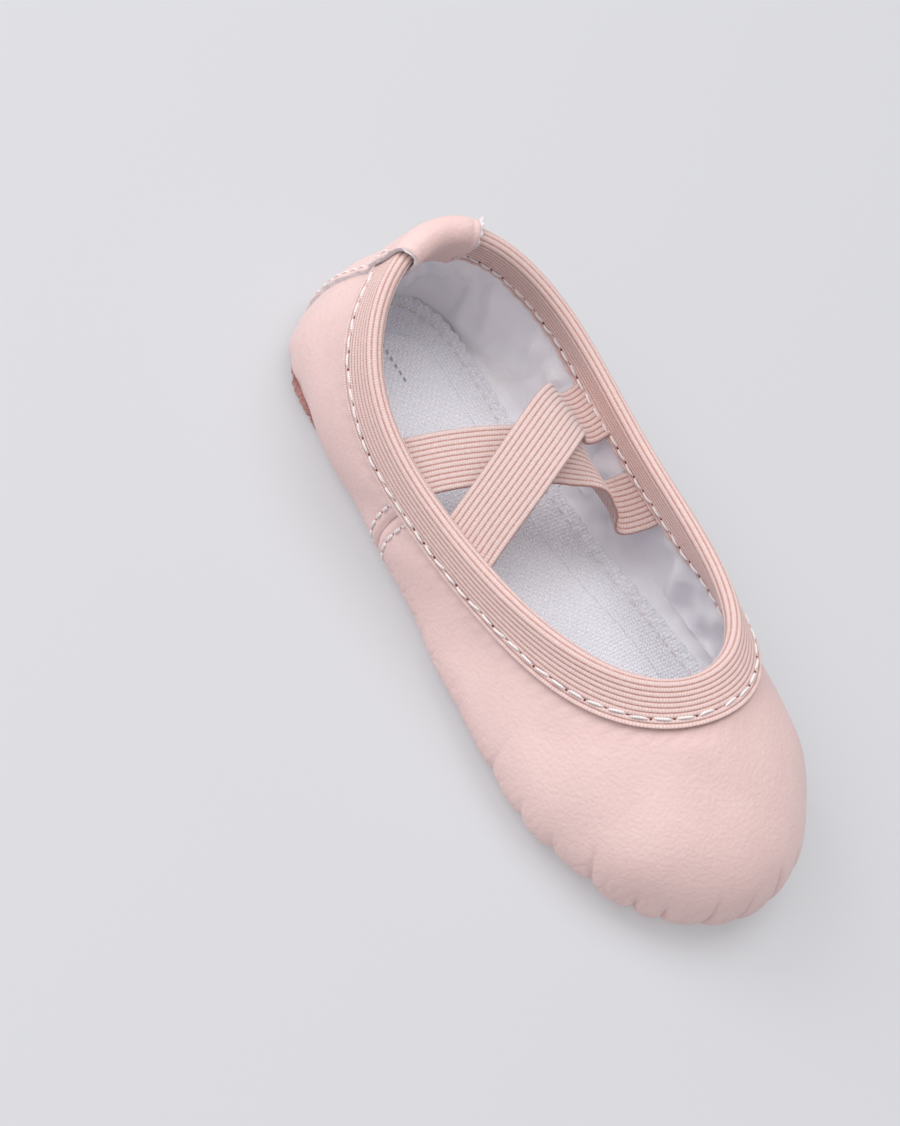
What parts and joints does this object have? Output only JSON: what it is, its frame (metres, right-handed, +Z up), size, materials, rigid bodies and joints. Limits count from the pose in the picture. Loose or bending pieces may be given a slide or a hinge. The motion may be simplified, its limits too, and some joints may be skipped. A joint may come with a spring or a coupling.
{
  "type": "ballet slipper",
  "caption": "Soft leather ballet slipper with a split suede sole, ribbed elastic topline binding, folded heel tab and crossed elastic instep straps.",
  "frame": {"origin": "centre of the slipper's length and width, on the floor under its suede soles", "axes": "+X towards the toe, +Y towards the wearer's left, +Z up"},
  "size_m": [0.1836, 0.0766, 0.0536],
  "materials": {
    "upper_leather": "soft smooth dusty-pink leather, fine grain",
    "lining": "white satin-faced knit lining",
    "insole_canvas": "white plain-weave canvas",
    "foam_pad": "cream latex foam",
    "sole_suede": "dusty-rose suede, fibrous nap",
    "binding_elastic": "ribbed pink elastic, folded",
    "strap_elastic": "ribbed pink elastic webbing",
    "thread": "white sewing thread"
  },
  "bodies": {
    "forefoot": {"vamp": "upper_leather", "vamp_lining": "lining", "forefoot_sole": "sole_suede", "forefoot_pad": "foam_pad", "insole": "insole_canvas", "topline_binding": "binding_elastic", "binding_stitching": "thread", "insole_stitching": "thread", "vamp_seam_stitching": "thread", "vamp_arch_stitching": "thread", "forefoot_sole_outer_stitching": "thread", "forefoot_sole_inner_stitching": "thread"},
    "heel": {"left_quarter": "upper_leather", "right_quarter": "upper_leather", "left_quarter_lining": "lining", "right_quarter_lining": "lining", "heel_pad": "foam_pad", "heel_sole": "sole_suede", "heel_strip": "upper_leather", "heel_strip_stitching": "thread", "quarter_seam_stitching": "thread", "quarter_arch_stitching": "thread", "heel_sole_outer_stitching": "thread", "heel_sole_inner_stitching": "thread"},
    "under_strap": {"under_strap": "strap_elastic"},
    "over_strap": {"over_strap": "strap_elastic"}
  },
  "joints": [
    {"name": "arch_flex", "type": "hinge", "parent": "forefoot", "child": "heel", "pos_m": [0.004, 0, 0], "axis": [0, -1, 0], "range_deg": [0, 25], "stiffness_Nm_per_rad": 0.05, "deforming": ["insole", "topline_binding", "binding_stitching", "insole_stitching"]},
    {"name": "under_strap_swing", "type": "hinge", "parent": "heel", "child": "under_strap", "pos_m": [-0.02, -0.0005, 0.0285], "axis": [0.4333, 0.9013, 0], "range_deg": [-20, 20], "stiffness_Nm_per_rad": 0.004},
    {"name": "over_strap_swing", "type": "hinge", "parent": "heel", "child": "over_strap", "pos_m": [-0.02, 0.0005, 0.0285], "axis": [-0.4333, 0.9013, 0], "range_deg": [-20, 20], "stiffness_Nm_per_rad": 0.004}
  ],
  "couplings": [
    {"joint": "over_strap_swing", "follows": "under_strap_swing", "ratio": 1}
  ]
}
